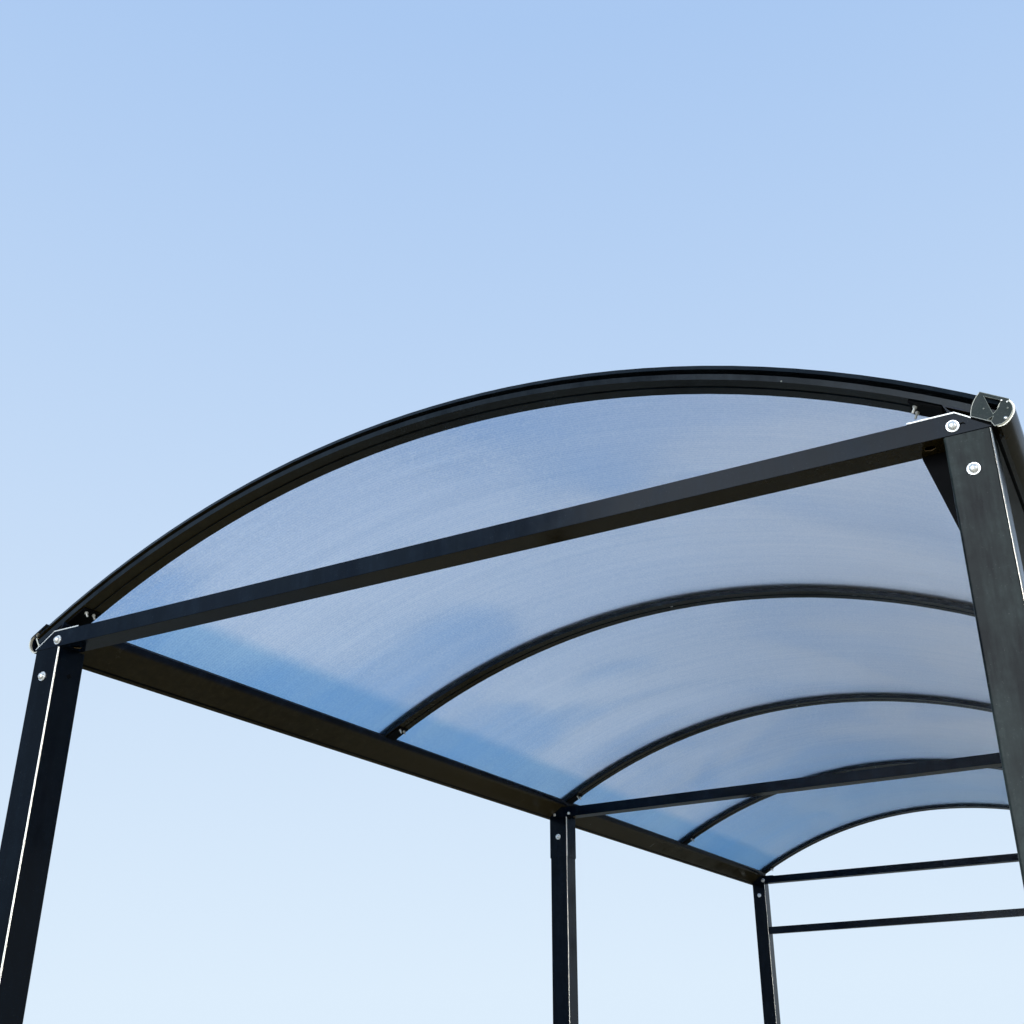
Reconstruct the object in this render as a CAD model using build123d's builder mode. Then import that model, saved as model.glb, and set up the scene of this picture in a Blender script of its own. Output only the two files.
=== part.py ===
"""Open bike shelter: six box posts, three tie beams and a barrel roof.

The shelter stands on six foot plates.  Tie beams cross on the post heads.
An extruded eaves beam runs along each side, with a seat that takes the feet
of five arched glazing bars.  Four curved twin-wall sheets are clamped
between the bars and their outer caps.

Millimetres, +Z up.  X is the width, Y the length, the origin is in the
middle of the footprint at ground level.  The near end is at -Y.
"""
from build123d import *

import math
import os

# Main frame
SHELTER_WIDTH = 2280.0      # over the outer faces of the posts
BAY_LENGTH = 2660.0         # from post to post along the shelter
BAY_COUNT = 2
BARS_PER_BAY = 2            # glazing bar spaces in one bay
HEAD_HEIGHT = 2180.0        # ground to the underside of the tie beams

# Posts
POST_SIZE = 80.0
POST_WALL = 3.0
POST_CORNER = 5.0
POST_HEAD_PLATE = 4.0
FOOT_PLATE_WIDTH = 200.0    # across the shelter
FOOT_PLATE_DEPTH = 100.0
FOOT_PLATE_THICKNESS = 10.0
ANCHOR_SPACING = 150.0
ANCHOR_HOLE = 14.0

# Sleeve round the head of a middle post
SLEEVE_LENGTH = 168.0
SLEEVE_WALL = 3.0
SLEEVE_CLEARANCE = 0.2

# Tie beams
BEAM_DEPTH = 60.0
BEAM_HEIGHT = 40.0
BEAM_WALL = 3.0
BEAM_TIP = 2.0              # height left at the pointed end
BEAM_TAPER_LENGTH = 56.0
BEAM_HOLE = 20.0
BEAM_HOLE_FROM_POST = 28.0
SPARE_HOLE = 11.0
SPARE_HOLE_FROM_END = 45.0
SPARE_HOLE_HEIGHT = 15.0

# Low rail across the far end
RAIL_DROP = 257.0
RAIL_HEIGHT = 40.0
RAIL_DEPTH = 40.0
RAIL_WALL = 3.0

# Bent saddle plate on each end of a tie beam
SADDLE_THICKNESS = 4.0
SADDLE_FLAT_LENGTH = 80.0

# Corner gusset under the right end of a tie beam
GUSSET_THICKNESS = 6.0
GUSSET_REACH = 46.0
GUSSET_DROP = 150.0
GUSSET_NOSE = 6.0

# Arched glazing bars
ARCH_RADIUS = 2200.0        # to the soffit of the bars
SEAT_HEIGHT = 22.0          # foot of the soffit above the underside of the tie beams
BAR_WIDTH = 62.0
BAR_HEIGHT = 12.0
BAR_SLOT_WIDTH = 8.0
BAR_SLOT_DEPTH = 3.0
SPINE_WIDTH = 8.0
CAP_HEIGHT = 10.0
CAP_BEVEL = 4.0

# Roof sheets
SHEET_THICKNESS = 10.0
SHEET_CLEARANCE = 0.3       # above and below the sheet in its clamp
SHEET_SIDE_GAP = 3.0        # between the sheet's edge and the bar's spine
SHEET_END_GAP = 4.0         # between the sheet's end and the seat wall

# Eaves beams
SEAT_OUTSIDE_POST = 6.0     # foot of the seat wall outside the post's face
SEAT_CLEARANCE = 0.3
FLANGE_LENGTH = 38.0
FLANGE_THICKNESS = 4.0
ARM_LENGTH = 91.0
LIP_BULGE = 3.5
EXTRUSION_WALL = 2.5
NOSE_WALL = 3.2
ARM_WEB_FROM_SEAT = 36.0
NOSE_TOP_REACH = 12.0       # flat top of the nose, outwards from the seat
NOSE_SHOULDER_REACH = 22.6
NOSE_SHOULDER_HEIGHT = 31.0     # above the soffit line
NOSE_REACH = 29.0
NOSE_TIP_HEIGHT = 20.0
NOSE_BELLY_REACH = 27.3
NOSE_BELLY_DROP = 1.5       # below the soffit line
NOSE_FOOT_REACH = 19.0
NOSE_FOOT_DROP = 15.0
EAVES_JOINT_GAP = 2.0

# Closure strips between the sheets and the eaves beams
STRIP_WIDTH = 12.0
STRIP_FROM_LIP = 4.0
WEATHER_STRIP_WIDTH = 22.0
WEATHER_STRIP_INSET = 6.0

# End caps of the eaves beams, each a plate with a three-cornered window
END_CAP_THICKNESS = 3.0
END_CAP_REACH = 38.0        # up the roof from the seat wall
END_CAP_BULGE = 3.5
END_CAP_BULGE_HEIGHT = 13.0
END_CAP_DROP = 11.0         # below the soffit line
END_CAP_LEAN = 2.5          # lower corner nearer to the seat than the upper one
END_CAP_TIP_REACH = 9.0     # pointed foot, outwards from the seat wall
END_CAP_TIP_DROP = 17.0
WINDOW_WIDTH = 28.0
WINDOW_TOP = 30.5           # above the soffit line
WINDOW_POINT_REACH = 2.0
WINDOW_POINT_HEIGHT = 4.0
WINDOW_BULGE = 2.5
DRAIN_WIDTH = 6.5           # small drain hole below the window
DRAIN_TOP_DROP = 1.0
DRAIN_FOOT_DROP = 8.5

# Cleats under the feet of the bars
CLEAT_LENGTH = 62.0
CLEAT_WIDTH = 50.0
CLEAT_THICKNESS = 4.0
CLEAT_GAP = 1.0

# Worked out from the sizes above
total_length = BAY_COUNT * BAY_LENGTH + POST_SIZE
half_width = SHELTER_WIDTH / 2
post_x = half_width - POST_SIZE / 2
inner_x = half_width - POST_SIZE
frame_y = [-total_length / 2 + n * BAY_LENGTH for n in range(BAY_COUNT + 1)]
frame_names = ["near", "middle", "far"]
bar_spacing = BAY_LENGTH / BARS_PER_BAY
bar_count = BAY_COUNT * BARS_PER_BAY + 1
bar_y = [frame_y[0] + POST_SIZE / 2 + n * bar_spacing for n in range(bar_count)]
beam_top = HEAD_HEIGHT + BEAM_HEIGHT
seat_angle = math.asin((half_width + SEAT_OUTSIDE_POST) / ARCH_RADIUS)
arch_centre_z = HEAD_HEIGHT + SEAT_HEIGHT - ARCH_RADIUS * math.cos(seat_angle)
cap_base = BAR_HEIGHT + SHEET_THICKNESS + 2 * SHEET_CLEARANCE
stack_height = cap_base + CAP_HEIGHT
sheet_base = BAR_HEIGHT + SHEET_CLEARANCE
flange_base = stack_height + SEAT_CLEARANCE
flange_top = flange_base + FLANGE_THICKNESS
eaves_start = bar_y[0] - BAR_WIDTH / 2
eaves_end = bar_y[-1] + BAR_WIDTH / 2
bend_x = half_width - BEAM_TAPER_LENGTH
taper_angle = math.atan((BEAM_HEIGHT - BEAM_TIP) / BEAM_TAPER_LENGTH)
upper_bend_x = bend_x + SADDLE_THICKNESS * math.tan(taper_angle / 2)
saddle_top = beam_top + SADDLE_THICKNESS


def roof_point(inward, height):
    """Point at the right-hand eaves, measured along the curve of the roof.

    inward is the distance up the roof from the seat wall, along the soffit,
    and height is the distance outwards from the soffit of the bars.
    """
    angle = seat_angle - inward / ARCH_RADIUS
    radius = ARCH_RADIUS + height
    return (radius * math.sin(angle), arch_centre_z + radius * math.cos(angle))


def saddle_point(x):
    """Point on the sloping top face of the right-hand saddle."""
    return (x, saddle_top - (x - upper_bend_x) * math.tan(taper_angle))


def below_roof(inward, lift):
    """Point straight under the roof soffit, above the slope of the saddle."""
    angle = seat_angle - inward / ARCH_RADIUS
    slope = math.tan(taper_angle)
    slope_height = saddle_top + upper_bend_x * slope + lift / math.cos(taper_angle)
    radius = (slope_height - arch_centre_z) / (math.cos(angle) + slope * math.sin(angle))
    return (radius * math.sin(angle), arch_centre_z + radius * math.cos(angle))


def cross_plane(y):
    """Upright plane across the shelter, which extrudes towards the near end."""
    return Plane(origin=(0, y, 0), x_dir=(1, 0, 0), z_dir=(0, -1, 0))


def bar_plane(start_angle):
    """Plane at the left-hand end of a curved piece, with local Y outwards."""
    normal = (math.cos(start_angle), 0, math.sin(start_angle))
    return Plane(origin=(0, 0, arch_centre_z), x_dir=(0, 1, 0), z_dir=normal)


arch_axis = Axis((0, 0, arch_centre_z), (0, 1, 0))


def roof_arc(start, end, height):
    """Arc that follows the roof between two distances from the seat wall."""
    middle = (start + end) / 2
    ThreePointArc(roof_point(start, height), roof_point(middle, height), roof_point(end, height))


def save(piece, name):
    piece.label = name
    export_step(piece, "parts/" + name + ".step")


# Posts, each with its welded foot plate and head plate
def make_post(side, y):
    x = side * post_x
    centre_y = y + POST_SIZE / 2
    shaft = HEAD_HEIGHT - FOOT_PLATE_THICKNESS
    bore = POST_SIZE - 2 * POST_WALL
    with BuildPart() as post:
        with BuildSketch(Plane.XY):
            with Locations((x, centre_y)):
                Rectangle(FOOT_PLATE_WIDTH, FOOT_PLATE_DEPTH)
                with GridLocations(ANCHOR_SPACING, 0, 2, 1):
                    Circle(ANCHOR_HOLE / 2, mode=Mode.SUBTRACT)
        extrude(amount=FOOT_PLATE_THICKNESS)
        with BuildSketch(Plane.XY.offset(FOOT_PLATE_THICKNESS)):
            with Locations((x, centre_y)):
                RectangleRounded(POST_SIZE, POST_SIZE, POST_CORNER)
        extrude(amount=shaft)
        with BuildSketch(Plane.XY.offset(FOOT_PLATE_THICKNESS)):
            with Locations((x, centre_y)):
                Rectangle(bore, bore)
        extrude(amount=shaft - POST_HEAD_PLATE, mode=Mode.SUBTRACT)
    return post.part


# Sleeves round the heads of the middle posts
def make_sleeve(side):
    inner = POST_SIZE + 2 * SLEEVE_CLEARANCE
    outer = inner + 2 * SLEEVE_WALL
    with BuildPart() as sleeve:
        with BuildSketch(Plane.XY.offset(HEAD_HEIGHT - SLEEVE_LENGTH)):
            with Locations((side * post_x, frame_y[1] + POST_SIZE / 2)):
                RectangleRounded(outer, outer, POST_CORNER + SLEEVE_WALL)
                Rectangle(inner, inner, mode=Mode.SUBTRACT)
        extrude(amount=SLEEVE_LENGTH)
    return sleeve.part


# Tie beams, with ends cut to a point under the saddle plates
def make_tie_beam(y, spare_hole):
    hole_x = inner_x - BEAM_HOLE_FROM_POST
    hole_y = y + BEAM_DEPTH / 2
    with BuildPart() as beam:
        with BuildSketch(cross_plane(y + BEAM_DEPTH)):
            with BuildLine():
                Polyline(
                    (-half_width, HEAD_HEIGHT),
                    (half_width, HEAD_HEIGHT),
                    (half_width, HEAD_HEIGHT + BEAM_TIP),
                    (bend_x, beam_top),
                    (-bend_x, beam_top),
                    (-half_width, HEAD_HEIGHT + BEAM_TIP),
                    close=True,
                )
            make_face()
        extrude(amount=BEAM_DEPTH)
        with BuildSketch(cross_plane(y + BEAM_DEPTH - BEAM_WALL)):
            with Locations((0, HEAD_HEIGHT + BEAM_HEIGHT / 2)):
                Rectangle(2 * (bend_x - BEAM_WALL), BEAM_HEIGHT - 2 * BEAM_WALL)
        extrude(amount=BEAM_DEPTH - 2 * BEAM_WALL, mode=Mode.SUBTRACT)
        with BuildSketch(Plane.XY.offset(HEAD_HEIGHT)):
            with Locations((-hole_x, hole_y), (hole_x, hole_y)):
                Circle(BEAM_HOLE / 2)
        extrude(amount=BEAM_WALL, mode=Mode.SUBTRACT)
        if spare_hole:
            with BuildSketch(cross_plane(y + BEAM_WALL)):
                with Locations((half_width - SPARE_HOLE_FROM_END, HEAD_HEIGHT + SPARE_HOLE_HEIGHT)):
                    Circle(SPARE_HOLE / 2)
            extrude(amount=BEAM_WALL, mode=Mode.SUBTRACT)
    return beam.part


# Low rail between the far posts
def make_rail():
    height = HEAD_HEIGHT - RAIL_DROP - RAIL_HEIGHT / 2
    centre_y = frame_y[-1] + POST_SIZE / 2
    section = Plane(origin=(-inner_x, centre_y, height), x_dir=(0, 1, 0), z_dir=(1, 0, 0))
    with BuildPart() as rail:
        with BuildSketch(section):
            Rectangle(RAIL_DEPTH, RAIL_HEIGHT)
            Rectangle(RAIL_DEPTH - 2 * RAIL_WALL, RAIL_HEIGHT - 2 * RAIL_WALL, mode=Mode.SUBTRACT)
        extrude(amount=2 * inner_x)
    return rail.part


# Saddle plates, one bent plate on each end of a tie beam
def make_saddles(y):
    tip_z = HEAD_HEIGHT + BEAM_TIP
    end_x = half_width + SADDLE_THICKNESS * math.sin(taper_angle)
    end_z = tip_z + SADDLE_THICKNESS * math.cos(taper_angle)
    with BuildPart() as saddles:
        with BuildSketch(cross_plane(y + BEAM_DEPTH)):
            with BuildLine():
                Polyline(
                    (bend_x - SADDLE_FLAT_LENGTH, beam_top),
                    (bend_x, beam_top),
                    (half_width, tip_z),
                    (end_x, end_z),
                    (upper_bend_x, saddle_top),
                    (bend_x - SADDLE_FLAT_LENGTH, saddle_top),
                    close=True,
                )
            make_face()
            mirror(about=Plane.YZ)
        extrude(amount=BEAM_DEPTH)
    return saddles.part


# Corner gussets between the right-hand posts and the tie beams
def make_gusset(y, root_x):
    with BuildPart() as gusset:
        with BuildSketch(cross_plane(y + BEAM_DEPTH)):
            with BuildLine():
                Polyline(
                    (root_x, HEAD_HEIGHT),
                    (root_x - GUSSET_REACH, HEAD_HEIGHT),
                    (root_x - GUSSET_REACH, HEAD_HEIGHT - GUSSET_NOSE),
                    (root_x - GUSSET_NOSE, HEAD_HEIGHT - GUSSET_DROP),
                    (root_x, HEAD_HEIGHT - GUSSET_DROP),
                    close=True,
                )
            make_face()
        extrude(amount=GUSSET_THICKNESS)
    return gusset.part


def nose_outline():
    """Closed outline of the rounded nose, outwards from the seat wall."""
    upper = roof_point(-NOSE_TOP_REACH, flange_top)
    shoulder = roof_point(-NOSE_SHOULDER_REACH, NOSE_SHOULDER_HEIGHT)
    tip = roof_point(-NOSE_REACH, NOSE_TIP_HEIGHT)
    belly = roof_point(-NOSE_BELLY_REACH, -NOSE_BELLY_DROP)
    foot = roof_point(-NOSE_FOOT_REACH, -NOSE_FOOT_DROP)
    Line(roof_point(0, flange_top), upper)
    ThreePointArc(upper, shoulder, tip)
    ThreePointArc(tip, belly, foot)
    Polyline(foot, roof_point(0, -NOSE_FOOT_DROP), roof_point(0, flange_top))


# Eaves beam: an extrusion with a hollow arm, a seat for the bars and a hollow nose
def make_eaves_beam(side, start, end):
    lip_top = roof_point(ARM_LENGTH, -SEAT_CLEARANCE)
    lip_foot = (upper_bend_x, saddle_top)
    lip_middle = (
        (lip_top[0] + lip_foot[0]) / 2 - LIP_BULGE * math.cos(seat_angle),
        (lip_top[1] + lip_foot[1]) / 2 - LIP_BULGE * math.sin(seat_angle),
    )
    seat_foot = roof_point(-EXTRUSION_WALL, -SEAT_CLEARANCE)
    web_start = ARM_WEB_FROM_SEAT
    web_end = web_start + EXTRUSION_WALL
    in_top_wall = -SEAT_CLEARANCE - EXTRUSION_WALL / 2
    in_bottom_wall = EXTRUSION_WALL / 2
    section = cross_plane(end)
    length = end - start
    with BuildPart() as eaves:
        with BuildSketch(section):
            with BuildLine():
                ThreePointArc(lip_foot, lip_middle, lip_top)
                roof_arc(ARM_LENGTH, 0, -SEAT_CLEARANCE)
                Polyline(
                    roof_point(0, -SEAT_CLEARANCE),
                    seat_foot,
                    saddle_point(half_width),
                    lip_foot,
                )
            make_face()
            offset(amount=-EXTRUSION_WALL, mode=Mode.SUBTRACT)
            with BuildLine():
                Polyline(
                    roof_point(web_start, in_top_wall),
                    roof_point(web_end, in_top_wall),
                    below_roof(web_end, in_bottom_wall),
                    below_roof(web_start, in_bottom_wall),
                    close=True,
                )
            make_face()
            if side < 0:
                mirror(about=Plane.YZ, mode=Mode.REPLACE)
        extrude(amount=length)
        with BuildSketch(section):
            with BuildLine():
                nose_outline()
            make_face()
            offset(amount=-NOSE_WALL, mode=Mode.SUBTRACT)
            if side < 0:
                mirror(about=Plane.YZ, mode=Mode.REPLACE)
        extrude(amount=length)
        with BuildSketch(section):
            with BuildLine():
                roof_arc(-EXTRUSION_WALL, FLANGE_LENGTH, flange_base)
                Line(roof_point(FLANGE_LENGTH, flange_base), roof_point(FLANGE_LENGTH, flange_top))
                roof_arc(FLANGE_LENGTH, -EXTRUSION_WALL, flange_top)
                Line(
                    roof_point(-EXTRUSION_WALL, flange_top),
                    roof_point(-EXTRUSION_WALL, flange_base),
                )
            make_face()
            if side < 0:
                mirror(about=Plane.YZ, mode=Mode.REPLACE)
        extrude(amount=length)
    return eaves.part


# End cap: one plate inside the wall of the nose and across the seat under the flange
def make_end_cap(side, y):
    upper = roof_point(END_CAP_REACH, flange_top)
    bulge = roof_point(END_CAP_REACH + END_CAP_BULGE, END_CAP_BULGE_HEIGHT)
    lower = roof_point(END_CAP_REACH - END_CAP_LEAN, -END_CAP_DROP)
    window_point = roof_point(WINDOW_POINT_REACH, WINDOW_POINT_HEIGHT)
    window_side = roof_point(WINDOW_POINT_REACH / 2 - WINDOW_BULGE, (WINDOW_POINT_HEIGHT + WINDOW_TOP) / 2)
    window_corner = roof_point(0, WINDOW_TOP)
    with BuildPart() as cap:
        with BuildSketch(cross_plane(y)):
            with BuildLine():
                nose_outline()
            make_face()
            offset(amount=-NOSE_WALL, mode=Mode.REPLACE)
            with BuildLine():
                ThreePointArc(upper, bulge, lower)
                Polyline(
                    lower,
                    roof_point(0, -END_CAP_DROP),
                    roof_point(-END_CAP_TIP_REACH, -END_CAP_TIP_DROP),
                    roof_point(NOSE_WALL - NOSE_FOOT_REACH, NOSE_WALL - NOSE_FOOT_DROP),
                    roof_point(-NOSE_TOP_REACH, flange_top),
                    upper,
                )
            make_face()
            with BuildLine():
                ThreePointArc(window_point, window_side, window_corner)
                Polyline(window_corner, roof_point(WINDOW_WIDTH, WINDOW_TOP), window_point)
            make_face(mode=Mode.SUBTRACT)
            with BuildLine():
                Polyline(
                    roof_point(0, -DRAIN_FOOT_DROP),
                    roof_point(DRAIN_WIDTH, -DRAIN_FOOT_DROP),
                    roof_point(0, -DRAIN_TOP_DROP),
                    close=True,
                )
            make_face(mode=Mode.SUBTRACT)
            if side < 0:
                mirror(about=Plane.YZ, mode=Mode.REPLACE)
        extrude(amount=END_CAP_THICKNESS)
    return cap.part


# Arched bar that carries the sheets, with a spine between them
def make_bar(centre_y):
    half = BAR_WIDTH / 2
    slot = BAR_SLOT_WIDTH / 2
    spine = SPINE_WIDTH / 2
    r = ARCH_RADIUS
    right_side = [
        (slot, r + BAR_SLOT_DEPTH),
        (slot, r),
        (half, r),
        (half, r + BAR_HEIGHT),
        (spine, r + BAR_HEIGHT),
        (spine, r + cap_base),
    ]
    left_side = [(-y, z) for y, z in reversed(right_side)]
    outline = [(centre_y + y, z) for y, z in right_side + left_side]
    with BuildPart() as bar:
        with BuildSketch(bar_plane(seat_angle)):
            with BuildLine():
                Polyline(*outline, close=True)
            make_face()
        revolve(axis=arch_axis, revolution_arc=2 * math.degrees(seat_angle))
    return bar.part


# Outer cap of a bar, which clamps the sheets
def make_bar_cap(centre_y):
    half = BAR_WIDTH / 2
    base = ARCH_RADIUS + cap_base
    top = base + CAP_HEIGHT
    outline = [
        (centre_y - half, base),
        (centre_y + half, base),
        (centre_y + half - CAP_BEVEL, top),
        (centre_y - half + CAP_BEVEL, top),
    ]
    with BuildPart() as cap:
        with BuildSketch(bar_plane(seat_angle)):
            with BuildLine():
                Polyline(*outline, close=True)
            make_face()
        revolve(axis=arch_axis, revolution_arc=2 * math.degrees(seat_angle))
    return cap.part


# Curved roof sheet between two bars
def make_sheet(index):
    edge = SPINE_WIDTH / 2 + SHEET_SIDE_GAP
    width = bar_spacing - 2 * edge
    angle = seat_angle - SHEET_END_GAP / ARCH_RADIUS
    centre = (bar_y[index] + bar_spacing / 2, ARCH_RADIUS + sheet_base + SHEET_THICKNESS / 2)
    with BuildPart() as sheet:
        with BuildSketch(bar_plane(angle)):
            with Locations(centre):
                Rectangle(width, SHEET_THICKNESS)
        revolve(axis=arch_axis, revolution_arc=2 * math.degrees(angle))
    return sheet.part


# Closure strips under and over the ends of the sheets, between the bars
def make_strips(side):
    inner_end = ARM_LENGTH - STRIP_FROM_LIP
    upper_start = WEATHER_STRIP_INSET
    upper_end = upper_start + WEATHER_STRIP_WIDTH
    length = bar_spacing - BAR_WIDTH
    with BuildPart() as strips:
        for index in range(bar_count - 1):
            far_face = bar_y[index + 1] - BAR_WIDTH / 2
            with BuildSketch(cross_plane(far_face)):
                with BuildLine():
                    roof_arc(inner_end - STRIP_WIDTH, inner_end, 0)
                    Line(roof_point(inner_end, 0), roof_point(inner_end, BAR_HEIGHT))
                    roof_arc(inner_end, inner_end - STRIP_WIDTH, BAR_HEIGHT)
                    Line(
                        roof_point(inner_end - STRIP_WIDTH, BAR_HEIGHT),
                        roof_point(inner_end - STRIP_WIDTH, 0),
                    )
                make_face()
                with BuildLine():
                    roof_arc(upper_start, upper_end, cap_base)
                    Line(roof_point(upper_end, cap_base), roof_point(upper_end, stack_height))
                    roof_arc(upper_end, upper_start, stack_height)
                    Line(roof_point(upper_start, stack_height), roof_point(upper_start, cap_base))
                make_face()
                if side < 0:
                    mirror(about=Plane.YZ, mode=Mode.REPLACE)
            extrude(amount=length)
    return strips.part


# Cleats under the feet of the bars, against the lip of the eaves beam
def make_cleats(side):
    start = ARM_LENGTH + CLEAT_GAP
    end = start + CLEAT_LENGTH
    top = -SEAT_CLEARANCE
    with BuildPart() as cleats:
        for centre_y in bar_y:
            with BuildSketch(cross_plane(centre_y + CLEAT_WIDTH / 2)):
                with BuildLine():
                    roof_arc(start, end, top)
                    Line(roof_point(end, top), roof_point(end, top - CLEAT_THICKNESS))
                    roof_arc(end, start, top - CLEAT_THICKNESS)
                    Line(roof_point(start, top - CLEAT_THICKNESS), roof_point(start, top))
                make_face()
                if side < 0:
                    mirror(about=Plane.YZ, mode=Mode.REPLACE)
            extrude(amount=CLEAT_WIDTH)
    return cleats.part


os.makedirs("parts", exist_ok=True)
sides = {"left": -1, "right": 1}
sleeve_face_x = inner_x - SLEEVE_CLEARANCE - SLEEVE_WALL
gusset_roots = [inner_x, sleeve_face_x, inner_x]

for frame_name, y, root_x in zip(frame_names, frame_y, gusset_roots):
    for side_name, side in sides.items():
        save(make_post(side, y), "post_" + frame_name + "_" + side_name)
    save(make_tie_beam(y, frame_name == "near"), "tie_beam_" + frame_name)
    save(make_saddles(y), "saddle_plates_" + frame_name)
    save(make_gusset(y, root_x), "gusset_" + frame_name + "_right")

save(make_rail(), "low_rail_far")

middle_y = bar_y[bar_count // 2]
for side_name, side in sides.items():
    save(make_sleeve(side), "post_sleeve_middle_" + side_name)
    save(
        make_eaves_beam(side, eaves_start, middle_y - EAVES_JOINT_GAP / 2),
        "eaves_beam_near_" + side_name,
    )
    save(
        make_eaves_beam(side, middle_y + EAVES_JOINT_GAP / 2, eaves_end),
        "eaves_beam_far_" + side_name,
    )
    save(make_strips(side), "closure_strips_" + side_name)
    save(make_cleats(side), "bar_cleats_" + side_name)

save(make_end_cap(1, eaves_start), "end_cap_near_right")
save(make_end_cap(1, eaves_end + END_CAP_THICKNESS), "end_cap_far_right")
save(make_end_cap(-1, eaves_end + END_CAP_THICKNESS), "end_cap_far_left")

bar_names = ["near", "second", "middle", "fourth", "far"]
for bar_name, centre_y in zip(bar_names, bar_y):
    save(make_bar(centre_y), "arch_bar_" + bar_name)
    save(make_bar_cap(centre_y), "arch_cap_" + bar_name)

for index in range(bar_count - 1):
    save(make_sheet(index), "roof_sheet_" + str(index + 1))
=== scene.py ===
import math

import bmesh
import bpy
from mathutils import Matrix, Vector


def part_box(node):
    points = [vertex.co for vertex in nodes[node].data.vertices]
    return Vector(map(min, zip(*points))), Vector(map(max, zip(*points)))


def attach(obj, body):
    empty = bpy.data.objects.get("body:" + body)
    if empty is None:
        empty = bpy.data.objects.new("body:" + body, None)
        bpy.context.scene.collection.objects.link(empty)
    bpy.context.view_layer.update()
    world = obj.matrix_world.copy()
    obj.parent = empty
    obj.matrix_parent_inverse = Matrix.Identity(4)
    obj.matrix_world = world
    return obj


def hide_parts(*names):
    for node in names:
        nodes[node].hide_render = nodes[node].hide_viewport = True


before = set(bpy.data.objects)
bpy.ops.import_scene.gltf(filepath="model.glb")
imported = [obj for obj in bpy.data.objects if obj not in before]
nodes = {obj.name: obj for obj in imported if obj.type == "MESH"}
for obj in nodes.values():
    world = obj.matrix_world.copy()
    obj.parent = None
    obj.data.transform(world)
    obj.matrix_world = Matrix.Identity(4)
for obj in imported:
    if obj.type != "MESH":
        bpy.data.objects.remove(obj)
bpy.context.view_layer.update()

# Sizes read from the frame, in metres
beam_low, beam_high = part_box("tie_beam_near")
HALF_WIDTH = beam_high[0]
HEAD_HEIGHT = beam_low[2]
NEAR_FACE = beam_low[1]
FRAME_END = -NEAR_FACE

# Sizes of the roof, as in the part's own drawing
ARCH_RADIUS = 2.200
SEAT_OFFSET = 0.006
SEAT_HEIGHT = 0.022
BAR_HEIGHT = 0.012
BAR_WIDTH = 0.062
SLOT_DEPTH = 0.003
SHEET_CLEARANCE = 0.0003
SHEET_THICKNESS = 0.010
SHEET_END_GAP = 0.004
RIB_PITCH = 0.010
CAP_HEIGHT = 0.010
BAR_SPACING = 1.330
FIRST_BAR_Y = -2.660
BAR_COUNT = 5
EAVES_END = BAR_WIDTH / 2 - FIRST_BAR_Y

SEAT_ANGLE = math.asin((HALF_WIDTH + SEAT_OFFSET) / ARCH_RADIUS)
ARCH_CENTRE_Z = HEAD_HEIGHT + SEAT_HEIGHT - ARCH_RADIUS * math.cos(SEAT_ANGLE)
BAR_Y = [FIRST_BAR_Y + n * BAR_SPACING for n in range(BAR_COUNT)]

# Sizes of the posts and the tie beams
POST_SIZE = 0.080
POST_X = HALF_WIDTH - POST_SIZE / 2
BEAM_DEPTH = 0.060
BEAM_HEIGHT = 0.040
BEAM_TIP = 0.002
BEAM_TAPER_LENGTH = 0.056
SADDLE_THICKNESS = 0.004
FRAME_Y = [NEAR_FACE, NEAR_FACE + 2 * BAR_SPACING, NEAR_FACE + 4 * BAR_SPACING]


def roof_point(inward, height, side):
    """Point at the eaves, up the roof from the seat wall and out from the soffit."""
    angle = SEAT_ANGLE - inward / ARCH_RADIUS
    radius = ARCH_RADIUS + height
    return (side * radius * math.sin(angle), ARCH_CENTRE_Z + radius * math.cos(angle))


def place_object(name, data):
    """A new object at the origin, in the scene."""
    made = bpy.data.objects.new(name, data)
    bpy.context.collection.objects.link(made)
    return made


# Node building


class Nodes:
    """Short calls that add nodes to one network."""

    def __init__(self, tree):
        self.tree = tree

    def put(self, socket, value):
        """Sets a socket, or links it where the value is an output."""
        if isinstance(value, bpy.types.NodeSocket):
            self.tree.links.new(value, socket)
        else:
            socket.default_value = value

    def node(self, kind, inputs=None, **settings):
        """A new node, with its own settings made before its inputs are filled."""
        made = self.tree.nodes.new(kind)
        for key, value in settings.items():
            setattr(made, key, value)
        for key, value in (inputs or {}).items():
            self.put(made.inputs[key], value)
        return made

    def math(self, operation, first, second=0.0):
        return self.node("ShaderNodeMath", {0: first, 1: second}, operation=operation).outputs[0]

    def product(self, first, *others):
        """The values multiplied together, such as masks that have to overlap."""
        for other in others:
            first = self.math("MULTIPLY", first, other)
        return first

    def from_half(self, value):
        """How far the value's fraction is from a half."""
        return self.math("ABSOLUTE", self.math("SUBTRACT", self.math("FRACT", value), 0.5))

    def span(self, value, low, high, to_low=0.0, to_high=1.0):
        """The value, clamped between two limits and brought between two others."""
        limits = {"From Min": low, "From Max": high, "To Min": to_low, "To Max": to_high}
        return self.node("ShaderNodeMapRange", {"Value": value, **limits}).outputs["Result"]

    def over(self, value, limit, soft):
        """1 where the value is over the limit, with a soft edge below it."""
        return self.span(value, limit - soft, limit)

    def under(self, value, limit, soft):
        """1 where the value is under the limit, with a soft edge above it."""
        return self.span(value, limit + soft, limit)

    def blend(self, factor, first, second, kind="MIX"):
        """Two colours mixed."""
        sides = {"Factor": factor, "A": first, "B": second}
        return self.node("ShaderNodeMix", sides, data_type="RGBA", blend_type=kind).outputs["Result"]

    def mix(self, factor, first, second):
        """Two numbers mixed."""
        sides = {"Factor": factor, "A": first, "B": second}
        return self.node("ShaderNodeMix", sides, data_type="FLOAT").outputs["Result"]

    def part(self, vector, which):
        """One coordinate of a vector."""
        return self.node("ShaderNodeSeparateXYZ", {"Vector": vector}).outputs[which]


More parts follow.
